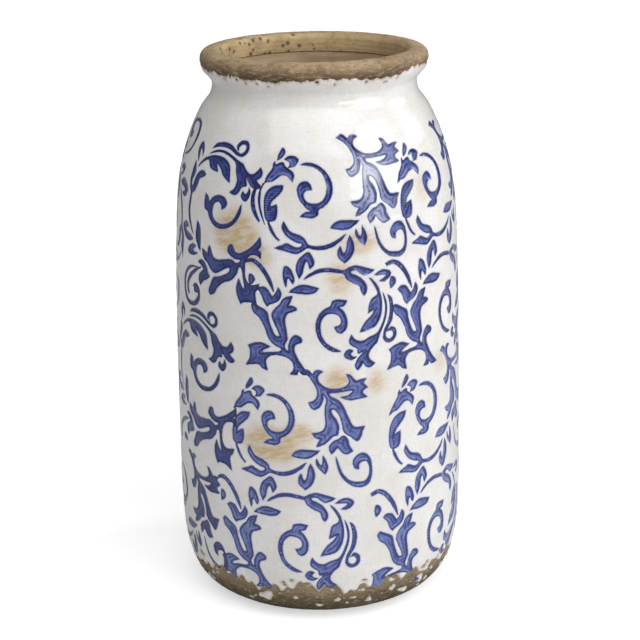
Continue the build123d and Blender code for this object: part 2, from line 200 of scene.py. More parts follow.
        (-10.8, 179), (-12.8, 177.9), (-15.8, 176.5), (-17, 173), (-16.4, 168), (-15.9, 163.2),
        (-17.4, 159.8), (-16.6, 157.3), (-15, 156.6, 1), (-15, 160), (-13.6, 163.4), (-11.6, 165.2),
        (-8.9, 164), (-8.6, 161.9), (-11.6, 160.4), (-12.5, 157.8), (-11.6, 154.8), (-9.6, 150.8),
        (-6.6, 147), (-4, 144.6, 1), (-8, 144.3), (-10.2, 146.4), (-11, 144.6), (-14.4, 144.6, 1),
        (-12.6, 147), (-12.8, 150.4), (-15, 153), (-19, 154.4), (-24, 154.2), (-27, 152), (-27.4, 149.4),
        (-26.6, 145.8, 1), (-29.2, 146.8), (-31.6, 148.7), (-38.2, 147.5, 1), (-36.2, 151), (-35.9, 155.6),
        (-37, 157.8, 1), (-33.6, 159.4), (-29.6, 160.1), (-25, 158.5, 1), (-28.6, 156.7), (-30.2, 154.6),
        (-25, 155.4), (-19.6, 156.2), (-19, 158.2), (-22.4, 159.9), (-25.6, 163.4), (-27.6, 169),
        (-30.4, 173.6), (-33.6, 176.2)]}

# Thin brush strokes of the first sheet: (distance round the wall, height, half width).
STROKES = {
    "leaf_stem": [(-25.4, 223.1, 0.55), (-23.5, 219, 0.5), (-21.5, 216, 0.35), (-19.6, 214.3, 0.15)],
    "lone_arc": [(-38.5, 202, 0.7), (-34, 203, 0.9), (-29.5, 200, 0.9), (-25.5, 194.5, 0.8),
                 (-22.5, 187.5, 0.2)],
}
# Stems brushed in by hand between the sheets: (distance round the wall, height, half width).
HAND_STROKES = {
    "open_spiral": [(-72.3, 192.9, 0.3), (-78.1, 192.2, 0.5), (-83.6, 189.7, 0.7), (-87.1, 184.9, 0.9),
                    (-87.8, 178.8, 1), (-85.6, 174, 1), (-80.9, 171.8, 1), (-75.6, 172.8, 1.1),
                    (-72.2, 176.7, 1.2), (-72.4, 181, 1.2), (-75.1, 183, 1.1), (-77.6, 181.4, 0.8)],
    "thick_stem": [(-33, 240, 0.8), (-34.6, 235, 1.1), (-34, 230, 1.1), (-32.3, 226, 1),
                   (-30.3, 223.2, 0.5)],
    "thin_stem": [(-28.7, 242, 0.5), (-30.6, 238, 0.6), (-30.8, 233, 0.6), (-29.5, 227.5, 0.6),
                  (-27.2, 221.7, 0.2)],
}

# The sheets in the order they were laid: name, then the sheet's middle as the way round the wall and its
# height, the turn to the left in degrees, and how much the wet paper stretched across and up.
SHEET_MIDDLE = (20.0, 200.0)
SHEETS = [
    ("upper_1", 20.0, 200.0, 0.0, 1.0, 1.0),
    ("lower_1", -2.0, 78.2, 0.5, 1.01, 1.04),
    ("lower_2", 83.2, 75.4, 2.0, 1.0, 1.07),
    ("upper_2", 95.5, 196.8, -0.5, 1.01, 1.02),
    ("turned_high", -84.7, 236.9, 93.6, 1.05, 0.94),
    ("turned_low", -97.7, 149.3, 88.4, 1.05, 0.97),
    ("lower_6", -83.5, 19.8, 0.0, 0.95, 1.0),
    ("lower_3", 163.0, 76.5, -0.8, 1.0, 1.03),
    ("upper_3", 171.5, 200.5, 0.6, 1.0, 1.0),
    ("upper_4", 247.0, 197.5, -0.4, 1.01, 1.0),
    ("lower_4", 241.0, 75.0, 0.9, 1.0, 1.04),
    ("upper_5", -161.0, 200.0, 0.0, 1.0, 1.01),
    ("lower_5", -164.5, 78.0, -1.2, 1.0, 1.03)]
# A motif of these later sheets is left off where it would fall on one already laid.
YIELDING = ("lower_3", "upper_3", "upper_4", "lower_4", "upper_5", "lower_5")


# ---------------- curves and profiles

def smooth(points, step, closed=False):
    """A curve through the points, straight into sharp corners, in steps of about that length."""
    count = len(points)
    flat = np.array([p[:2] for p in points], float)
    sharp = [len(p) > 2 and p[2] == 1 for p in points]
    out = []
    for i in range(count if closed else count - 1):
        b = flat[i]
        c = flat[(i + 1) % count]
        before_known = closed or i > 0
        after_known = closed or i + 2 < count
        a = flat[i - 1] if before_known and not sharp[i] else 2 * b - c
        d = flat[(i + 2) % count] if after_known and not sharp[(i + 1) % count] else 2 * c - b
        pieces = max(1, round(float(np.linalg.norm(c - b)) / step))
        t = (np.arange(pieces) / pieces)[:, None]
        square, cube = 2 * a - 5 * b + 4 * c - d, 3 * b - 3 * c + d - a
        out.append(0.5 * (2 * b + (c - a) * t + square * t**2 + cube * t**3))
    if not closed:
        out.append(flat[-1:])
    return np.concatenate(out)


def unit(ways):
    """The ways, each scaled to length 1; one without length stays as it is."""
    return ways / np.maximum(np.linalg.norm(ways, axis=1), 1e-9)[:, None]


class Profile:
    """A wall's profile by its arc length: radius, height and the direction that points out of the wall."""

    def __init__(self, points, step=0.5):
        self.line = smooth(points, step)
        gaps = np.linalg.norm(np.diff(self.line, axis=0), axis=1)
        self.length = np.concatenate([[0.0], np.cumsum(gaps)])
        along = unit(np.gradient(self.line, axis=0))
        self.out = np.stack([along[:, 1], -along[:, 0]], 1)

    def at(self, s):
        """Radius and height at arc length s, and the outward direction there."""
        return [np.interp(s, self.length, column) for column in (*self.line.T, *self.out.T)]

    def reach(self, height):
        """Arc length at a height."""
        return np.interp(height, self.line[:, 1], self.length)

    def radius(self, s):
        return np.interp(s, self.length, self.line[:, 0])


WALL = Profile(CLAY_WALL)


def on_wall(x, s, lift):
    """Points in space from distance round, arc length up the wall, and height above the clay."""
    radius, height, out_r, out_z = WALL.at(s)
    reach = radius + out_r * lift
    angle = x / UNROLL_R
    return np.stack([reach * np.sin(angle), -reach * np.cos(angle), height + out_z * lift], 1)


def waves(x, seed, sizes):
    """Uneven but closed run round the wall: the sum of waves of the given (length, height)."""
    rng = np.random.RandomState(seed)
    total = np.zeros_like(x)
    for length, height in sizes:
        turns = max(1, round(2 * math.pi * UNROLL_R / length))
        for extra in range(3):
            phase = rng.uniform(0, 2 * math.pi)
            total += height * rng.uniform(0.5, 1.0) * np.sin((turns + extra) * x / UNROLL_R + phase)
    return total


# ---------------- the painted sheets, unrolled

def lay_flat(points):
    """Takes points of the first sheet off the wall: true distances from the sheet's middle."""
    x, z = np.array(points, float)[:, :2].T
    s = WALL.reach(z)
    across = (x - SHEET_MIDDLE[0]) * (WALL.radius(s) + GLAZE) / UNROLL_R
    return np.stack([across, s - WALL.reach(SHEET_MIDDLE[1])], 1)


def lay_on(points, x, height, turn, stretch_x, stretch_up):
    """Lays flat points on the wall about a middle: distance round the wall and arc length up it."""
    angle = math.radians(turn)
    across, up = (points * (stretch_x, stretch_up)).T
    turned_across = across * math.cos(angle) - up * math.sin(angle)
    turned_up = across * math.sin(angle) + up * math.cos(angle)
    s = WALL.reach(height) + turned_up
    return np.stack([x + turned_across * UNROLL_R / (WALL.radius(s) + GLAZE), s], 1)


def stroke_outline(points, step):
    """Closed outline of a brush stroke of changing width, both ends pointed."""
    spine = smooth([p[:2] for p in points], step)
    marks = np.linspace(0, len(spine) - 1, len(points))
    width = np.interp(np.arange(len(spine)), marks, [p[2] for p in points])
    along = unit(np.gradient(spine, axis=0))
    side = np.stack([-along[:, 1], along[:, 0]], 1) * width[:, None]
    return np.concatenate([spine + side, (spine - side)[::-1]])


OUTLINE_STEP = 0.8


def sheet_outlines():
    """Every motif's sampled outline on the first sheet."""
    drawn = {name: smooth(points, OUTLINE_STEP, closed=True) for name, points in SHEET.items()}
    drawn.update({name: stroke_outline(points, OUTLINE_STEP) for name, points in STROKES.items()})
    return drawn


def spread(outline, by):
    """The outline moved outward by that much, as wet cobalt runs."""
    along = unit(np.roll(outline, -1, axis=0) - np.roll(outline, 1, axis=0))
    area = np.cross(outline, np.roll(outline, -1, axis=0)).sum()
    return outline + math.copysign(by, area) * np.stack([along[:, 1], -along[:, 0]], 1)


def inside(points, polygon):
    """Which points lie inside a closed polygon."""
    x, y = points.T
    x1, y1 = polygon.T
    x2, y2 = np.roll(polygon, -1, axis=0).T
    crosses = (y1 > y[:, None]) != (y2 > y[:, None])
    rise = np.where(y2 == y1, 1e-12, y2 - y1)
    left = x[:, None] < (x2 - x1) * (y[:, None] - y1) / rise + x1
    return (crosses & left).sum(1) % 2 == 1


def overlaps(one, other):
    """Whether either outline has a point inside the other."""
    gap = np.maximum(one.min(0) - other.max(0), other.min(0) - one.max(0))
    if (gap > 0).any():
        return False
    return inside(one, other).any() or inside(other, one).any()


GIRTH = 2 * math.pi * UNROLL_R
# Motifs wholly below this arc length would lie on bare clay, and wet cobalt ran out by this much.
LOWEST_PAINT = 22.0
RUN_OUT = 0.15


def place_motifs():
    """All motifs as (sheet, motif name, outline in distance round and arc length)."""
    drawn = {name: lay_flat(outline) for name, outline in sheet_outlines().items()}
    placed = [(sheet, motif, spread(lay_on(points, *place), RUN_OUT))
              for sheet, *place in SHEETS for motif, points in drawn.items()]
    for motif, points in HAND_STROKES.items():
        x, z = stroke_outline(points, OUTLINE_STEP).T
        placed.append(("upper_1", motif, np.stack([x, WALL.reach(z)], 1)))
    kept = []
    for sheet, motif, outline in placed:
        if outline[:, 1].max() < LOWEST_PAINT:
            continue
        turns = round(float(outline[:, 0].mean()) / GIRTH)
        copies = [outline - ((turns + k) * GIRTH, 0) for k in (-1, 0, 1)]
        if sheet in YIELDING and any(overlaps(copy, k[2]) for copy in copies for k in kept):
            continue
        kept += [(sheet, motif, copy) for copy in copies if np.abs(copy[:, 0]).min() < GIRTH / 2]
    return kept


MOTIFS = place_motifs()

# ---------------- the glaze's own edges

EDGE_STEP = 0.7
edge_x = np.linspace(-GIRTH / 2, GIRTH / 2, round(GIRTH / EDGE_STEP) + 1)
foot_edge = WALL.reach(GLAZE_START + 1.5) + waves(edge_x, 11, [(60, 1.1), (17, 1.0), (7, 0.8), (2.7, 0.45)])
neck_edge = WALL.reach(NECK_TOP + 8.5) + waves(edge_x, 12, [(90, 0.5), (22, 0.5), (8, 0.35), (2.9, 0.22)])
neck_edge += 1.8 * np.exp(-(((edge_x - 78.0) / 16.0) ** 2))


def blob(x, s, half_x, half_s, seed):
    """Closed uneven outline of a chip or an island."""
    turn = np.linspace(0, 2 * math.pi, 22, endpoint=False)
    rng = np.random.RandomState(seed)
    swell = 1 + 0.18 * np.sin(2 * turn + rng.uniform(0, 6)) + 0.16 * np.sin(3 * turn + rng.uniform(0, 6))
    swell += 0.10 * np.sin(5 * turn + rng.uniform(0, 6))
    return np.stack([x + half_x * swell * np.cos(turn), s + half_s * swell * np.sin(turn)], 1)


def scatter_blobs(count, seed, centre_line, band, sizes):
    """Seeded blobs scattered about a line round the wall, small ones the most common."""
    rng = np.random.RandomState(seed)
    blobs = []
    for number in range(count):
        x = rng.uniform(-GIRTH / 2 + 4, GIRTH / 2 - 4)
        s = float(np.interp(x, edge_x, centre_line)) + rng.uniform(*band)
        size = sizes[0] + (sizes[1] - sizes[0]) * rng.uniform() ** 2.5
        blobs.append(blob(x, s, size * rng.uniform(0.9, 1.8), size * rng.uniform(0.6, 1.0), seed + number))
    return blobs


def apart(blobs, others, margin):
    """Keeps the blobs that stay clear of each other and of the other outlines."""
    kept = []
    for one in blobs:
        low, high = one.min(0) - margin, one.max(0) + margin
        near = [o for o in [*kept, *others] if (o.min(0) < high).all() and (o.max(0) > low).all()]
        if not near:
            kept.append(one)
    return kept


paint_outlines = [outline for _, _, outline in MOTIFS]
islands = apart(scatter_blobs(520, 300, foot_edge, (-11.0, -0.8), (0.35, 4.2)), [], 0.25)
foot_chips = scatter_blobs(230, 700, foot_edge, (0.9, 7.0), (0.3, 1.5))
neck_chips = scatter_blobs(26, 900, neck_edge, (-3.6, -1.0), (0.25, 0.8))
chips = apart(foot_chips + neck_chips, paint_outlines, 0.4)
islands = [o for o in islands if (o[:, 1] < np.interp(o[:, 0], edge_x, foot_edge) - 0.5).all()]
chips = [o for o in chips if (o[:, 1] > np.interp(o[:, 0], edge_x, foot_edge) + 0.5).all()]
chips = [o for o in chips if (o[:, 1] < np.interp(o[:, 0], edge_x, neck_edge) - 0.4).all()]

# ---------------- one triangulation of the whole coat

# Columns and pitch of the fine grid, how near to paint and edges it is kept, and how far it reaches
# past the glaze at each end.
COLUMNS = 540
PITCH = GIRTH / COLUMNS
NEAR_PAINT = 1.7
NEAR_EDGE = 3.0
CLEAR = 0.42 * PITCH
GRID_BOTTOM = foot_edge.min() - 12
GRID_TOP = neck_edge.max() + 2
closed_lines = paint_outlines + islands + chips


def distance_to(points, polygon):
    """Distance from each point to a closed polygon, and the way out across its nearest side."""
    side = np.roll(polygon, -1, axis=0) - polygon
    length2 = np.maximum((side**2).sum(1), 1e-9)
    gap = points[:, None] - polygon
    t = np.clip((gap * side).sum(2) / length2, 0, 1)
    away = gap - t[:, :, None] * side
    distance = np.sqrt((away**2).sum(2))
    nearest = distance.argmin(1)
    rows = np.arange(len(points))
    return distance[rows, nearest], -away[rows, nearest]


def across_to(points, outline, way):
    """Distance from each point to the outline's far side, away from the side that the way points to."""
    gap = outline - points[:, None]
    length = np.linalg.norm(gap, axis=2)
    behind = (gap * way[:, None]).sum(2) < -0.5 * length
    return np.where(behind, length, 1e3).min(1)


def in_box(points, outline, margin):
    """Indices of the points in the outline's box, grown by a margin."""
    low, high = outline.min(0) - margin, outline.max(0) + margin
    return np.nonzero(((points > low) & (points < high)).all(1))[0]


def tree_of(points):
    tree = kdtree.KDTree(len(points))
    for number, point in enumerate(points):
        tree.insert((point[0], point[1], 0.0), number)
    tree.balance()
    return tree


def tree_distance(tree, points):
    return np.array([tree.find((x, y, 0.0))[2] for x, y in points])


def grid_points():
    """Three-cornered grid over the unrolled wall, fine at the paint and the edges and coarse elsewhere."""
    row_step = PITCH * math.sqrt(3) / 2
    rows = np.arange(int((GRID_TOP - GRID_BOTTOM) / row_step))
    row, column = (a.ravel() for a in np.meshgrid(rows, np.arange(COLUMNS), indexing="ij"))
    x = -GIRTH / 2 + (column + 0.5 * (row % 2)) * PITCH
    points = np.stack([x, GRID_BOTTOM + row * row_step], 1)
    fine = np.zeros(len(points), bool)
    for outline in closed_lines:
        near = in_box(points, outline, NEAR_PAINT)
        if len(near):
            close = distance_to(points[near], outline)[0] < NEAR_PAINT
            fine[near] |= close | inside(points[near], outline)
    for line in (foot_edge, neck_edge):
        fine |= np.abs(points[:, 1] - np.interp(points[:, 0], edge_x, line)) < NEAR_EDGE
    coarse = (row % 2 == 0) & ((column + row // 2) % 2 == 0)
    return points[(fine | coarse) & (column > 0)]


def side_line(x):
    """Points down the back seam, the same on both of its sides."""
    rows = np.arange(GRID_BOTTOM, GRID_TOP, 2 * PITCH)
    return np.stack([np.full(len(rows), x), rows], 1)


open_lines = [np.stack([edge_x, foot_edge], 1), np.stack([edge_x, neck_edge], 1), side_line(-GIRTH / 2),
              side_line(GIRTH / 2)]


def triangulate():
    """Corners and triangles of the unrolled coat, with every outline kept as edges."""
    points, edges, start = [], [], 0
    for line in closed_lines:
        count = len(line)
        edges += [(start + i, start + (i + 1) % count) for i in range(count)]
        points.append(line)
        start += count
    for line in open_lines:
        edges += [(start + i, start + i + 1) for i in range(len(line) - 1)]
        points.append(line)
        start += len(line)
    lines = tree_of(np.concatenate(points))
    grid = grid_points()
    points.append(grid[tree_distance(lines, grid) > CLEAR])
    flat = [Vector(p) for p in np.concatenate(points)]
    corners, _, triangles, *_ = delaunay_2d_cdt(flat, edges, [], 0, 1e-4, False)
    return np.array([c[:] for c in corners]), np.array([t[:] for t in triangles])


corners, triangles = triangulate()
centres = corners[triangles].mean(1)
in_coat = np.abs(centres[:, 0]) < GIRTH / 2
in_coat &= centres[:, 1] > np.interp(centres[:, 0], edge_x, foot_edge)
in_coat &= centres[:, 1] < np.interp(centres[:, 0], edge_x, neck_edge)
for outline in islands:
    near = in_box(centres, outline, 0)
    in_coat[near] |= inside(centres[near], outline)
for outline in chips:
    near = in_box(centres, outline, 0)
    in_coat[near] &= ~inside(centres[near], outline)
sheet_names = [name for name, *_ in SHEETS]
painted_by = np.full(len(triangles), -1)
for sheet, _, outline in MOTIFS:
    near = in_box(centres, outline, 0)
    painted_by[near[inside(centres[near], outline)]] = sheet_names.index(sheet)

# ---------------- relief and stains of the coat

EDGE_LINES = islands + chips + open_lines[:2]
edge_tree = tree_of(np.concatenate([smooth(list(line), 0.35) for line in EDGE_LINES]))
paint_tree = tree_of(np.concatenate(paint_outlines))
to_edge = tree_distance(edge_tree, corners)
to_paint = tree_distance(paint_tree, corners)
# Paint closer to other paint than this gets less haze between the two.
WIDE_GAP = 2.4


def room_beside():
    """For every sample of the painted outlines, the distance to the nearest other motif."""
    room = []
    for outline in paint_outlines:
        nearest = np.full(len(outline), WIDE_GAP)
        for other in paint_outlines:
            apart_by = np.maximum(outline.min(0) - other.max(0), other.min(0) - outline.max(0))
            if other is not outline and (apart_by < WIDE_GAP).all():
                between = np.linalg.norm(outline[:, None] - other, axis=2).min(1)
                nearest = np.minimum(nearest, between)
        room.append(nearest)
    return np.concatenate(room)


beside = room_beside()
crowding = beside[[paint_tree.find((x, y, 0.0))[1] for x, y in corners]] / WIDE_GAP


def faded(marks):
    """Soft patches on the coat; a mark is way round, height, half sizes and strength."""
    total = np.zeros(len(corners))
    for x, z, half_x, half_z, strength in marks:
        away = ((corners[:, 0] - x) / half_x) ** 2 + ((corners[:, 1] - WALL.reach(z)) / half_z) ** 2
        total = np.maximum(total, strength * np.exp(-away))
    return total


# How far the paint sank into the glaze, and the height of the lip pushed up round it.
PAINT_DEPTH = 0.3
LIP = 0.14
# The side of a motif on which its dark line is widest, as painted shade on the sunk wall away from the
# lamps, and the motif that is drawn with bars.
SHADED_SIDE_WAY = np.array([0.64, 0.77])
HATCHED = "lobed_leaf"
ink_and_shade, hatch, vein = np.zeros((3, len(corners)))
is_paint = np.zeros(len(corners), bool)
for sheet, motif, outline in MOTIFS:
    near = in_box(corners, outline, 0.01)
    own = near[inside(corners[near], outline)]
    if not len(own):
        continue
    distance, away = distance_to(corners[own], outline)
    way = unit(away)
    toward_shade = way @ SHADED_SIDE_WAY
    off_middle = np.abs(across_to(corners[own], outline, way) - 1.25 * distance)
    vein[own] = np.clip(1 - off_middle / 2.6, 0, 1) * np.clip((distance - 0.8) / 0.7, 0, 1)
    # Painted shade: the dark edge line is wider on the side that faces away from the lamps.
    width = 1.15 + 0.5 * toward_shade
    ink_and_shade[own] = np.maximum(ink_and_shade[own], np.clip(1.5 - distance / width, 0, 1))
    is_paint[own] = True
    if motif == HATCHED:
        hatch[own] = 1.0
on_outline = to_paint < 0.02
ink_and_shade[on_outline] = 1.0
is_paint[on_outline] = False

full_coat = np.sqrt(1 - (1 - np.clip(to_edge / 2.4, 0, 1)) ** 2)
bead = 0.16 * np.exp(-(((to_edge - 1.4) / 0.9) ** 2))
level = GLAZE * full_coat + bead - 0.05 * (to_edge < 0.02)
sunk = PAINT_DEPTH * np.clip(to_paint / 0.9, 0, 1)
raised = LIP * np.exp(-(((to_paint - 0.9) / 0.8) ** 2)) * (1 - is_paint)
relief = np.where(is_paint, -sunk, raised) * full_coat
clay_face = [Vector(p) for p in on_wall(*corners.T, 0.0) * MM]
swell = np.array([noise.noise(p * 42.0) for p in clay_face])
pools = np.array([noise.noise(p * 150.0) for p in clay_face])
rings = np.sin(corners[:, 1] / 1.9 + 2.0 * swell) * 0.035
coat = on_wall(*corners.T, level + relief + 0.22 * swell + 0.06 * pools + rings)

# Painted highlight: the body of the first sheet's largest motif is painted paler where a softbox's
# reflection crosses it.
PAINTED_HIGHLIGHT_MARKS = [(30.0, 247.0, 13.0, 9.0, 0.9), (28.0, 236.0, 9.0, 8.0, 0.45), (34.0, 226.0, 8.0, 7.0, 0.5)]
# Ochre stains that soaked through the crackle.
STAINS = [
    (-45, 215, 13, 11, 1.0), (-33, 206, 10, 8, 0.7), (-25, 105, 16, 10, 0.9), (-12, 112, 12, 7, 0.6),
    (10, 140, 9, 10, 0.6), (30, 138, 7, 8, 0.5), (12, 195, 9, 11, 0.55), (22, 212, 12, 7, 0.6),
    (65, 235, 10, 10, 0.35), (75, 140, 9, 9, 0.35), (150, 190, 16, 12, 0.6), (-150, 120, 14, 16, 0.6),
    (205, 90, 15, 11, 0.5), (-205, 215, 12, 9, 0.5), (120, 70, 9, 12, 0.4)]
ATTRIBUTES = {
    "ink_and_shade": ink_and_shade, "hatch": hatch, "vein": vein, "painted_highlight": faded(PAINTED_HIGHLIGHT_MARKS), "stain": faded(STAINS),
    "halo": np.exp(-np.maximum(to_paint, 0) / 0.75) * crowding,
    "thin": np.exp(-to_edge / 1.6)}


# ---------------- meshes

def new_object(name, points, faces, attributes=None, normals=None):
    """A smooth-shaded mesh object from millimetre points, with named point values."""
    mesh = bpy.data.meshes.new(name)
    mesh.from_pydata((np.asarray(points) * MM).tolist(), [], [list(map(int, f)) for f in faces])
    for key, values in (attributes or {}).items():
        layer = mesh.attributes.new(key, "FLOAT", "POINT")
        layer.data.foreach_set("value", np.asarray(values, np.float32))
    mesh.shade_smooth()
    mesh.update()
    if normals is not None:
        mesh.normals_split_custom_set_from_vertices(np.asarray(normals).tolist())
    thing = bpy.data.objects.new(name, mesh)
    bpy.context.scene.collection.objects.link(thing)
    return thing


def corner_normals(points, faces):
    """Smooth normals over the whole coat, so that pieces of it meet without a crease."""
    a, b, c = (points[faces[:, i]] for i in range(3))
    flat = np.cross(b - a, c - a)
    total = np.zeros_like(points)
    for i in range(3):
        np.add.at(total, faces[:, i], flat)
    return total / np.maximum(np.linalg.norm(total, axis=1), 1e-12)[:, None]


def cut_piece(name, chosen):
    """The chosen triangles of the coat as an object of their own."""
    used, local = np.unique(triangles[chosen], return_inverse=True)
    values = {key: array[used] for key, array in ATTRIBUTES.items()}
    return new_object(name, coat[used], local.reshape(-1, 3), values, coat_normals[used])


def weld_back():
    """Joins the two sides of the back seam by giving them the same corners."""
    left = np.nonzero(np.abs(corners[:, 0] + GIRTH / 2) < 1e-3)[0]
    right = np.nonzero(np.abs(corners[:, 0] - GIRTH / 2) < 1e-3)[0]
    joined = np.arange(len(corners))
    for one in right:
        gap = np.abs(corners[left, 1] - corners[one, 1])
        if gap.min() < 0.02:
            joined[one] = left[gap.argmin()]
    return joined[triangles]


triangles = weld_back()
coat_normals = corner_normals(coat, triangles[in_coat])


def turned(line, segments):
    """Points (radius, height) copied round the axis."""
    turn = np.linspace(0, 2 * math.pi, segments, endpoint=False)
    ring = np.stack([np.sin(turn), -np.cos(turn)], 1)
    copies = np.repeat(line[None], segments, 0)
    return np.concatenate([copies[:, :, :1] * ring[:, None], copies[:, :, 1:]], 2).reshape(-1, 3)


def lathe(name, line, segments, lift, closed=True):
    """Turns a profile round the axis; lift(points, outward) gives how far each corner moves out."""
    along = np.roll(line, -1, axis=0) - np.roll(line, 1, axis=0)
    if not closed:
        along = np.gradient(line, axis=0)
    along = unit(along)
    count = len(line)
    points = turned(line, segments)
    out = turned(np.stack([along[:, 1], -along[:, 0]], 1), segments)
    points = points + out * lift(points, out)[:, None]
    faces = []
    for i in range(segments):
        j = (i + 1) % segments
        for k in range(count if closed else count - 1):
            n = (k + 1) % count
            faces.append((i * count + k, j * count + k, j * count + n, i * count + n))
    thing = new_object(name, points, faces)
    weld_and_sharpen(thing)
    return thing


CREASE = math.radians(50)


def weld_and_sharpen(thing):
    """Welds the corners that meet on the axis, and marks the edges that turn more than a crease as sharp."""
    work = bmesh.new()
    work.from_mesh(thing.data)
    bmesh.ops.remove_doubles(work, verts=work.verts, dist=1e-6)
    bmesh.ops.dissolve_degenerate(work, edges=work.edges, dist=1e-7)
    for edge in work.edges:
        edge.smooth = len(edge.link_faces) < 2 or edge.calc_face_angle() < CREASE
    work.to_mesh(thing.data)
    work.free()


def fractal(points, size, seed):
    """Noise between about -1 and 1 with features of that size in millimetres."""
    shift = Vector((seed * 7.3, seed * 3.1, seed * 5.7))
    return np.array([noise.noise(Vector(p) / size + shift) for p in points])


# ---------------- clay, foot and rim

def rough_clay(points, out):
    """Hand-smoothed coarse clay: soft lumps, grain, and drag lines left round the wall."""
    height = points[:, 2]
    drag = np.sin(height * 2.4 + 1.3 * fractal(points, 30.0, 4)) * 0.05
    grain = 0.09 * fractal(points, 1.5, 2) + 0.05 * fractal(points, 0.8, 3)
    return 0.16 * fractal(points, 9.0, 1) + grain + drag


def pitted_clay(points, out):
    """The bare roll: clay with small burst pits, half of them towards the back."""
    lift = rough_clay(points, out)
    rng = np.random.RandomState(31)
    for _ in range(150):
        turn = rng.uniform(0, 2 * math.pi)
        if rng.uniform() < 0.5:
            turn = math.radians(rng.uniform(140, 235))
        reach, height = rng.uniform(50.0, 60.0), rng.uniform(290.0, 300.0)
        size = rng.uniform(0.5, 1.3)
        centre = np.array([reach * math.sin(turn), -reach * math.cos(turn), height])
        away = ((points - centre) ** 2).sum(1) / size**2
        lift = lift - 0.5 * size * np.exp(-away)
    return lift


def thrown_lining(points, out):
    """Soft spiral ridges left by the potter's fingers."""
    inward = (points[:, :2] * out[:, :2]).sum(1) < 0
    turn = np.arctan2(points[:, 0], -points[:, 1])
    ridges = np.sin(points[:, 2] * 2 * math.pi / 7.5 + turn)
    return inward * (0.12 * ridges + 0.1 * fractal(points, 14.0, 6))


# The clay that may show below the glaze is finely divided; the wall above it is coated all over.
SHOWN_CLAY_TOP = 34.0
low_wall = WALL.line[(WALL.line[:, 1] >= FLOOR_TOP) & (WALL.line[:, 1] < SHOWN_CLAY_TOP)]
high_wall = WALL.line[(WALL.line[:, 1] >= SHOWN_CLAY_TOP) & (WALL.line[:, 1] <= SECTION_SEAM)]
bore_line = smooth(BORE, 2.5)
bore_wall = bore_line[(bore_line[:, 1] > FLOOR_TOP + 0.5) & (bore_line[:, 1] < SECTION_SEAM)]

floor_line = np.concatenate([
    smooth([(0.0, FOOT_HOLLOW, 1), (FOOT_INNER_R - 0.8, FOOT_HOLLOW, 1)], 1.3)[:-1],
    smooth([(FOOT_INNER_R - 0.8, FOOT_HOLLOW, 1), (FOOT_INNER_R, 2.4), (FOOT_INNER_R + 0.3, 0.6),
            (FOOT_INNER_R + 1.2, 0.0), (FOOT_OUTER_R - 1.2, 0.0), (FOOT_OUTER_R + 0.6, 0.3)], 0.6)[:-1],
    WALL.line[(WALL.line[:, 1] > 0.3) & (WALL.line[:, 1] <= FLOOR_TOP)][::2],
    smooth([(70.0, FLOOR_TOP, 1), (0.0, FLOOR_TOP, 1)], 6.0)])
body_line = np.concatenate([low_wall, high_wall[::14], high_wall[-1:], bore_wall[::-2]])


def level_foot(points, out):
    """Coarse clay, worn flat where the vase stands."""
    standing = points[:, 2] < 0.25
    return np.where(standing, 0.0, rough_clay(points, out))


floor_clay = lathe("floor_clay", floor_line, 480, level_foot, closed=False)
body_clay = lathe("body_clay", body_line, 540, rough_clay)
rim_clay = lathe("rim_clay", smooth(RIM_ROLL, 0.55, closed=True), 560, pitted_clay)
lining_inner = np.array([
    (max(r - LINING, 0.0), z + (LINING if r < 60 and z < 20 else 0)) for r, z in bore_line])
lining_line = np.concatenate([bore_line[::3], lining_inner[::-1]])
lining = lathe("lining", lining_line, 256, thrown_lining, closed=False)

white = cut_piece("white_coat", in_coat & (painted_by < 0))
paint = {name: cut_piece("cobalt_" + name, in_coat & (painted_by == number))
         for number, name in enumerate(sheet_names)}

# ---------------- materials

class Nodes:
    """Short ways to add shader nodes to one node tree."""

    def __init__(self, tree):
        self.tree = tree

    def put(self, socket, value):
        """Links the socket to another one, or sets its own value."""
        if isinstance(value, bpy.types.NodeSocket):
            self.tree.links.new(value, socket)
        else:
            socket.default_value = value

    def add(self, kind, inputs=None, output=0, **settings):
        """Adds a node of that kind and gives one of its outputs."""
        made = self.tree.nodes.new("ShaderNode" + kind)
        for key, value in settings.items():
            setattr(made, key, value)
        for key, value in (inputs or {}).items():
            self.put(made.inputs[key], value)
        return made.outputs[output]

    def mix(self, factor, low, high):
        return self.add("Mix", {0: factor, 6: low, 7: high}, 2, data_type="RGBA")

    def math(self, operation, *values):
        return self.add("Math", dict(enumerate(values)), operation=operation)

    def product(self, *values):
        return self.math("MULTIPLY", *values)

    def ramp(self, value, low, high, to_low=0.0, to_high=1.0):
        """The value's soft-ended way from low to high, as a way between two others."""
        ends = {"From Min": low, "From Max": high, "To Min": to_low, "To Max": to_high}
        return self.add("MapRange", {"Value": value, **ends}, interpolation_type="SMOOTHSTEP")

    def tint(self, colour, other, value, low, high, most=1.0):
        """The colour turning to the other, by up to the most share, as the value goes from low to high."""
        return self.mix(self.ramp(value, low, high, 0.0, most), colour, other)

    def point_value(self, name):
        return self.add("Attribute", output="Fac", attribute_name=name)

    def bump(self, height, strength, distance, **under):
        return self.add("Bump", {"Height": height, "Strength": strength, "Distance": distance, **under})

    def length(self, vector):
        return self.add("VectorMath", {0: vector}, "Value", operation="LENGTH")


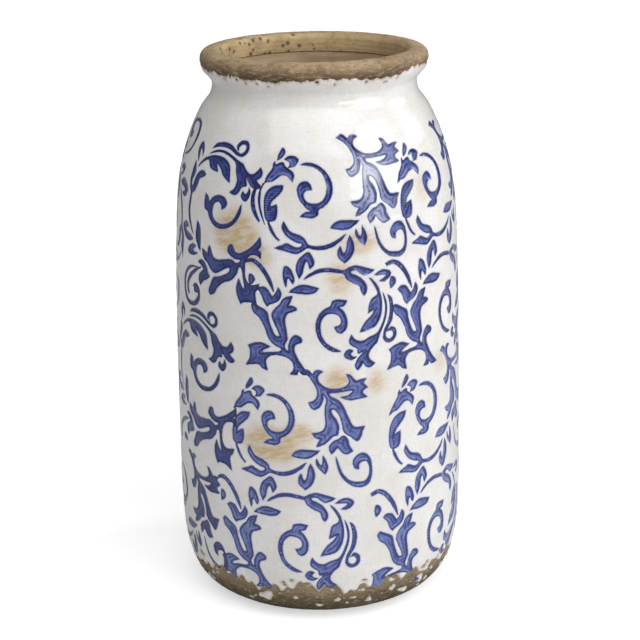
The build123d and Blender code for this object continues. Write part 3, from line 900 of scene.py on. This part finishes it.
class Looks(Nodes):
    """A material: its principled shader, the place on the object, and the place on the unrolled wall."""

    def __init__(self, name, **shader_values):
        self.material = bpy.data.materials.new(name)
        self.material.use_nodes = True
        super().__init__(self.material.node_tree)
        self.shader = self.tree.nodes["Principled BSDF"]
        for key, value in shader_values.items():
            self.shader.inputs[key.replace("_", " ")].default_value = value
        self.place = self.add("TexCoord", output="Object")
        self.x, self.y, self.z = (self.add("SeparateXYZ", {0: self.place}, axis) for axis in range(3))
        turn = self.math("ARCTAN2", self.x, self.product(self.y, -1.0))
        self.unrolled = self.add("CombineXYZ", {0: self.product(turn, UNROLL_R * MM), 1: self.z})

    def noise(self, scale, detail=3.0, roughness=0.55, vector=None):
        """Noise over the object, or over another vector."""
        return self.add("TexNoise", {
            "Vector": vector or self.place, "Scale": scale, "Detail": detail, "Roughness": roughness})

    def stretched_noise(self, vector, scales, detail=3.0, roughness=0.55):
        """Noise with its own scale along each axis."""
        return self.noise(1.0, detail, roughness, self.add("Mapping", {"Vector": vector, "Scale": scales}))

    def crackle(self):
        """Thin lines of crazed glaze, 1 on a line."""
        push = self.product(self.noise(0.7 * CRAZING, 2.0), 0.9 * MM)
        shifted = self.add("VectorMath", {0: self.place, 1: push}, operation="ADD")
        to_line = self.add("TexVoronoi", {"Vector": shifted, "Scale": CRAZING}, "Distance",
                           feature="DISTANCE_TO_EDGE")
        return self.ramp(to_line, 0.0, 0.07, 1.0, 0.0)

    def dots(self, scale, core, edge, most, patch_scale, patch_level):
        """Round dots, kept only in the patches where a coarser noise is above a level."""
        off_middle = self.add("TexVoronoi", {"Vector": self.place, "Scale": scale}, "Distance")
        kept = self.math("GREATER_THAN", self.noise(patch_scale), patch_level)
        return self.product(self.ramp(off_middle, core, edge, most, 0.0), kept)

    def finished(self, colour, roughness, normal):
        """The material, with the three values that vary over it linked to its shader."""
        for name, value in (("Base Color", colour), ("Roughness", roughness), ("Normal", normal)):
            self.put(self.shader.inputs[name], value)
        return self.material


# Features for each metre, for the crazing cells.
CRAZING = 520.0

# Glaze colours.
CREAM = (0.785, 0.765, 0.735, 1)
BRIGHT_CREAM = (0.86, 0.85, 0.84, 1)
YELLOWED = (0.80, 0.73, 0.58, 1)
BLUSH = (0.82, 0.70, 0.68, 1)
LINEN_GREY = (0.55, 0.50, 0.42, 1)
CRACK_BROWN = (0.42, 0.34, 0.25, 1)
OCHRE = (0.58, 0.42, 0.22, 1)
THIN_BROWN = (0.42, 0.30, 0.22, 1)
BLUE_HAZE = (0.36, 0.42, 0.70, 1)
# Paler cobalt of the painted highlight.
HIGHLIGHT_BLUE = (0.60, 0.61, 0.72, 1)
NAVY = (0.010, 0.015, 0.10, 1)
TAN = (0.56, 0.42, 0.27, 1)
DEEP_TAN = (0.40, 0.28, 0.17, 1)
TAN_SHADE = (0.30, 0.20, 0.12, 1)


def white_glaze_material():
    """Tin glaze: cream clouds, crazing, ochre stains, and blue haze where the cobalt bled."""
    look = Looks("white_tin_glaze", Coat_Weight=0.4, Coat_Roughness=0.06, Specular_IOR_Level=0.5)
    unrolled = look.unrolled
    colour = look.tint(CREAM, BRIGHT_CREAM, look.noise(28.0, 4.0), 0.35, 0.65)
    colour = look.tint(colour, YELLOWED, look.noise(90.0), 0.5, 0.75, 0.35)
    colour = look.tint(colour, BLUSH, look.stretched_noise(look.place, (70.0, 70.0, 119.0)), 0.55, 0.8, 0.35)
    linen = look.math("ADD", look.stretched_noise(unrolled, (160.0, 1100.0, 1.0), 2.0),
                      look.stretched_noise(unrolled, (1100.0, 160.0, 1.0), 2.0))
    colour = look.tint(colour, LINEN_GREY, linen, 0.85, 1.2, 0.16)
    crackle = look.crackle()
    stained_line = look.ramp(look.noise(60.0), 0.4, 0.7, 0.03, 0.2)
    colour = look.mix(look.product(crackle, stained_line), colour, CRACK_BROWN)
    slanted = look.add("Mapping", {"Vector": unrolled, "Rotation": (0.0, 0.0, -0.25)})
    grain = look.ramp(look.stretched_noise(slanted, (110.0, 330.0, 1.0), 5.0, 0.7), 0.36, 0.60, 0.5, 1.0)
    soaked = look.ramp(look.point_value("stain"), 0.08, 0.6)
    colour = look.mix(look.product(soaked, grain), colour, OCHRE)
    colour = look.tint(colour, BLUE_HAZE, look.point_value("halo"), 0.12, 1.0, 0.85)
    colour = look.tint(colour, NAVY, look.point_value("halo"), 0.6, 1.0, 0.9)
    colour = look.tint(colour, THIN_BROWN, look.point_value("thin"), 0.25, 1.0, 0.75)
    roughness = look.ramp(look.noise(300.0), 0.3, 0.7, 0.06, 0.14)
    height = look.math("SUBTRACT", look.noise(420.0, 2.0), look.product(crackle, 0.3))
    height = look.math("ADD", height, look.product(linen, 0.5))
    return look.finished(colour, roughness, look.bump(height, 0.25, 0.2 * MM))


def cobalt_material(name, fill, deep, dark=NAVY):
    """Brushed cobalt, with dark pigment along its folds and at its edges, where painted shade widens the
    edge line on one side; a painted highlight pales it where a softbox's reflection falls.
    """
    look = Looks(name, Coat_Weight=0.2, Coat_Roughness=0.06)
    colour = look.tint(fill, deep, look.noise(190.0, 4.0, 0.6), 0.35, 0.65)
    strokes = look.stretched_noise(look.place, (330.0, 330.0, 148.5), 3.0, 0.6)
    colour = look.tint(colour, dark, strokes, 0.53, 0.68, 0.65)
    bars = look.add("TexWave", {
        "Vector": look.unrolled, "Scale": 260.0, "Distortion": 1.5, "Detail": 2.0, "Detail Scale": 3.0},
        "Fac", bands_direction="Y")
    hatching = look.product(look.ramp(bars, 0.5, 0.9, 0.0, 0.75), look.point_value("hatch"))
    colour = look.mix(hatching, colour, dark)
    patchy = look.ramp(look.noise(330.0), 0.2, 0.6, 0.75, 1.0)
    # The dark edge line: pigment pooled at the edge, wider on one side as painted shade.
    edge = look.product(look.ramp(look.point_value("ink_and_shade"), 0.38, 0.8), patchy)
    brushed = look.ramp(look.noise(120.0), 0.4, 0.55, 0.15, 0.9)
    fold = look.product(look.ramp(look.point_value("vein"), 0.60, 0.86), brushed)
    # Painted highlight: the cobalt is paler and its dark lines fainter where a softbox's reflection falls.
    painted_highlight = look.point_value("painted_highlight")
    line = look.product(look.math("MAXIMUM", edge, fold), look.ramp(painted_highlight, 0.0, 1.0, 1.0, 0.35))
    colour = look.mix(line, look.mix(painted_highlight, colour, HIGHLIGHT_BLUE), dark)
    roughness = look.ramp(look.noise(350.0), 0.3, 0.7, 0.12, 0.26)
    height = look.math("SUBTRACT", look.noise(500.0, 2.0), look.product(look.crackle(), 0.3))
    return look.finished(colour, roughness, look.bump(height, 0.3, 0.2 * MM))


def clay_material(name, light, mid, dark, low, high, lit_inner_colour=None):
    """Bare clay, dark at the low level and light at the high one; a colour given for the inside of the mouth
    is painted light there, brighter than the lamps leave it.
    """
    look = Looks(name, Specular_IOR_Level=0.3)
    streaks = look.stretched_noise(look.unrolled, (190.0, 700.0, 1.0), 5.0, 0.7)
    patches = look.noise(85.0, 5.0, 0.65)
    shade = look.math("ADD", look.ramp(look.z, low, high, 0.0, 0.55), look.product(patches, 0.6))
    colour = look.tint(dark, mid, shade, 0.3, 0.75)
    colour = look.tint(colour, light, shade, 0.6, 1.0)
    colour = look.tint(colour, light, streaks, 0.5, 0.66, 0.6)
    colour = look.tint(colour, dark, streaks, 0.47, 0.32, 0.65)
    colour = look.mix(look.dots(480.0, 0.12, 0.3, 0.75, 260.0, 0.49), colour, dark)
    if lit_inner_colour:
        # Painted light: the inside of the mouth gets a lighter tan, as if lit from the front above.
        level = look.add("VectorMath", {0: look.place, 1: (1.0, 1.0, 0.0)}, operation="MULTIPLY")
        lit_face = look.ramp(look.length(level), (MOUTH_R + 2.2) * MM, (MOUTH_R + 0.6) * MM)
        back_left = look.ramp(look.math("SUBTRACT", look.y, look.x), 25.0 * MM, 60.0 * MM)
        pits = look.product(look.dots(260.0, 0.26, 0.38, 0.8, 120.0, 0.47), back_left)
        bare = look.tint(lit_inner_colour, mid, patches, 0.35, 0.7, 0.5)
        colour = look.mix(lit_face, colour, look.mix(pits, bare, dark))
    roughness = look.ramp(patches, 0.3, 0.7, 0.62, 0.9)
    grit = look.bump(look.noise(900.0, 4.0, 0.7), 0.6, 0.4 * MM)
    return look.finished(colour, roughness, look.bump(streaks, 0.5, 0.5 * MM, Normal=grit))


def lining_material():
    """Thin tan glaze on the inside, with soft streaks round the wall."""
    look = Looks("tan_lining_glaze", Coat_Weight=0.25, Coat_Roughness=0.2)
    streaks = look.stretched_noise(look.unrolled, (18.0, 260.0, 1.0), 4.0, 0.6)
    blotches = look.noise(55.0, 4.0)
    colour = look.tint(DEEP_TAN, TAN, streaks, 0.3, 0.7)
    colour = look.tint(colour, TAN_SHADE, blotches, 0.52, 0.75, 0.5)
    roughness = look.ramp(blotches, 0.3, 0.7, 0.32, 0.5)
    return look.finished(colour, roughness, look.bump(look.noise(400.0), 0.3, 0.3 * MM))


def finish_piece(thing, material, slot, *nodes):
    """Gives a piece its material, and its place in the frame unless it is a CAD node itself."""
    thing.data.materials.clear()
    thing.data.materials.append(material)
    if nodes:
        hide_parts(*nodes)
    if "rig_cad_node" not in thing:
        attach(thing, "root")


cobalt = cobalt_material("cobalt_glaze", (0.115, 0.16, 0.46, 1), (0.055, 0.085, 0.33, 1))
cobalt_deep = cobalt_material("cobalt_glaze_deep", (0.05, 0.075, 0.29, 1), (0.028, 0.045, 0.20, 1))
cobalt_thin = cobalt_material("cobalt_glaze_thin", (0.19, 0.24, 0.50, 1), (0.11, 0.15, 0.39, 1),
                              (0.026, 0.038, 0.19, 1))
# The rim's last colour is painted light for the inside of the mouth.
rim_material = clay_material("bare_clay_rim", (0.51, 0.385, 0.235, 1), (0.25, 0.172, 0.095, 1),
                             (0.085, 0.055, 0.033, 1), (RIM_TOP - 12.0) * MM, (RIM_TOP + 1.0) * MM,
                             (0.58, 0.43, 0.23, 1))
foot_material = clay_material("bare_clay_foot", (0.36, 0.28, 0.17, 1), (0.16, 0.118, 0.066, 1),
                              (0.045, 0.032, 0.018, 1), 0.0, 24.0 * MM)

finish_piece(white, white_glaze_material(), "white_tin_glaze", "white_glaze")
for sheet_name, thing in paint.items():
    looks = cobalt
    if sheet_name in ("turned_high", "turned_low", "lower_6"):
        looks = cobalt_deep
    elif sheet_name.startswith("lower"):
        looks = cobalt_thin
    finish_piece(thing, looks, "cobalt_glaze", "cobalt_scrolls")
finish_piece(floor_clay, foot_material, "bare_clay", "clay_floor")
finish_piece(body_clay, foot_material, "bare_clay", "clay_body")
finish_piece(rim_clay, rim_material, "bare_clay", "rolled_rim")
finish_piece(lining, lining_material(), "tan_lining_glaze", "inner_glaze")
finish_piece(frame["nodes"]["clay_shoulder"], foot_material, "bare_clay")

# ---------------- stage, lights and camera

scene = bpy.context.scene
HALF_FLOOR = 6.0
stage_mesh = bpy.data.meshes.new("studio_floor")
floor_corners = [(x * HALF_FLOOR, y * HALF_FLOOR, 0.0) for x, y in ((-1, -1), (1, -1), (1, 1), (-1, 1))]
stage_mesh.from_pydata(floor_corners, [], [(0, 1, 2, 3)])
studio_floor = bpy.data.objects.new("studio_floor", stage_mesh)
scene.collection.objects.link(studio_floor)
WHITE = (1.0, 1.0, 1.0, 1)
paper = Looks("white_paper", Base_Color=(0.8, 0.8, 0.81, 1), Roughness=0.9, Specular_IOR_Level=0.0,
              Emission_Color=WHITE)
straight = paper.add("LightPath", output="Is Camera Ray")
glow = paper.ramp(paper.length(paper.place), 0.1, 1.0, 0.56, 0.85)
paper.put(paper.shader.inputs["Emission Strength"], paper.product(straight, glow))
stage_mesh.materials.append(paper.material)

world = bpy.data.worlds.new("studio")
world.use_nodes = True
scene.world = world
sky = Nodes(world.node_tree)
backdrop = sky.tree.nodes["Background"]
backdrop.inputs["Color"].default_value = WHITE
seen = sky.add("LightPath", output="Is Camera Ray")
sky.put(backdrop.inputs["Strength"], sky.ramp(seen, 0.0, 1.0, 0.26, 1.0))
scene.view_settings.view_transform = "Standard"

VASE_MIDDLE = Vector((0.0, 0.0, RIM_TOP * MM / 2))
# Each softbox: the way round from the front to the right, the rise in degrees, and the distance, width,
# height (all in metres) and power.
SOFTBOXES = {
    "key_softbox": (60, 24, 1.5, 0.9, 1.2, 8.5),
    "top_softbox": (-6, 56, 1.4, 1.7, 1.1, 10.5),
    "side_softbox": (106, 27, 1.5, 0.3, 0.6, 4.5),
    "front_softbox": (36, 16, 1.9, 0.4, 0.3, 3.4)}


def softbox(name, round_by, rise, distance, width, height, power):
    """A rectangular studio light turned to the middle of the vase."""
    light = bpy.data.lights.new(name, "AREA")
    light.shape = "RECTANGLE"
    light.size = width
    light.size_y = height
    light.energy = power
    turn, rise = math.radians(round_by), math.radians(rise)
    way = Vector((math.sin(turn) * math.cos(rise), -math.cos(turn) * math.cos(rise), math.sin(rise)))
    lamp = bpy.data.objects.new(name, light)
    lamp.location = VASE_MIDDLE + way * distance
    lamp.rotation_euler = (-way).to_track_quat("-Z", "Y").to_euler()
    scene.collection.objects.link(lamp)


for name, values in SOFTBOXES.items():
    softbox(name, *values)

CAMERA_DISTANCE = 0.9097
CAMERA_RISE = math.radians(18.09)
CAMERA_ROLL = math.radians(-0.889)
CAMERA_AIM = Vector((0.0, 0.0, 0.1492))
lens = bpy.data.cameras.new("camera")
lens.lens = 92.4
lens.sensor_width = 36.0
lens.shift_x = 0.0032
lens.shift_y = -0.0025
camera = bpy.data.objects.new("camera", lens)
camera.location = CAMERA_AIM + CAMERA_DISTANCE * Vector((0.0, -math.cos(CAMERA_RISE), math.sin(CAMERA_RISE)))
facing_way = (CAMERA_AIM - camera.location).to_track_quat("-Z", "Y")
camera.rotation_euler = (facing_way @ Quaternion((0.0, 0.0, 1.0), CAMERA_ROLL)).to_euler()
scene.collection.objects.link(camera)
scene.camera = camera
